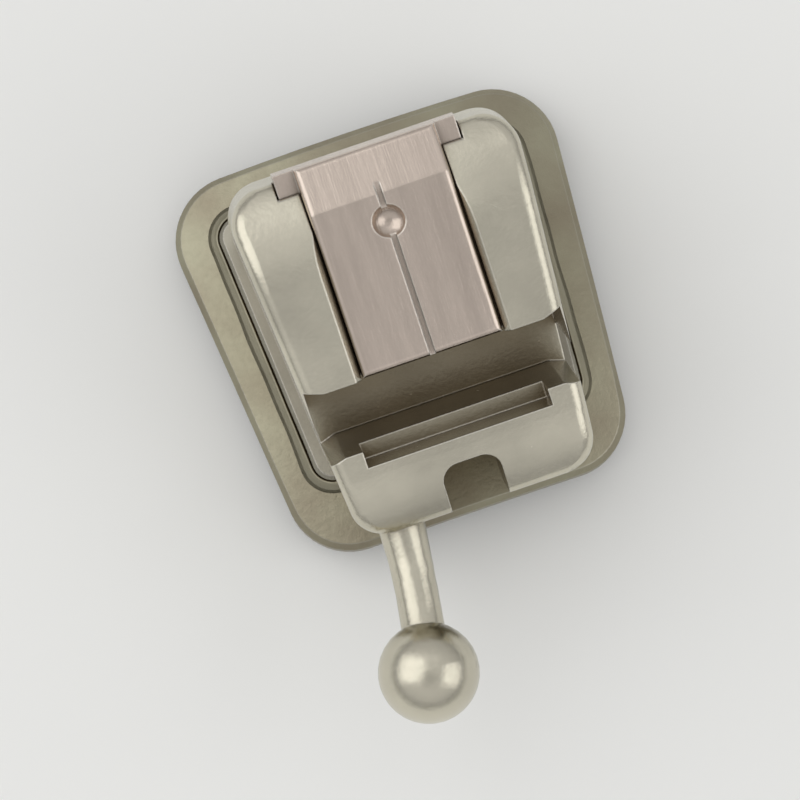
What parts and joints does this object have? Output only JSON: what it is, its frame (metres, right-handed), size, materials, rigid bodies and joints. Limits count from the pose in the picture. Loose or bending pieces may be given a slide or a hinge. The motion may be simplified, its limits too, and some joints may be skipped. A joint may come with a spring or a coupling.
{
  "type": "self-ligating orthodontic bracket",
  "caption": "Metal self-ligating orthodontic bracket: slotted body with tie wings, sliding door over the archwire slot, ball hook and curved mesh bonding pad.",
  "frame": {"origin": "middle of the pad's tooth side", "axes": "+Z from the tooth to the cheek, +Y to the biting edge, -Y to the gum (hook side), +X to the front of the mouth"},
  "size_m": [0.0034, 0.005, 0.0029],
  "materials": {
    "body": "tumble polished",
    "door": "polished, fine grain",
    "pad": "satin",
    "mesh": "blasted wire",
    "pin": "drawn"
  },
  "bodies": {
    "bracket": {"bracket_body": "body", "base_pad": "pad", "base_mesh": "mesh", "spring_pin": "pin"},
    "door": {"slide_door": "door"}
  },
  "joints": [
    {"name": "door_slide", "type": "slide", "parent": "bracket", "child": "door", "axis": [0, -0.9563, -0.2924], "range_m": [0, 0.000694]}
  ]
}
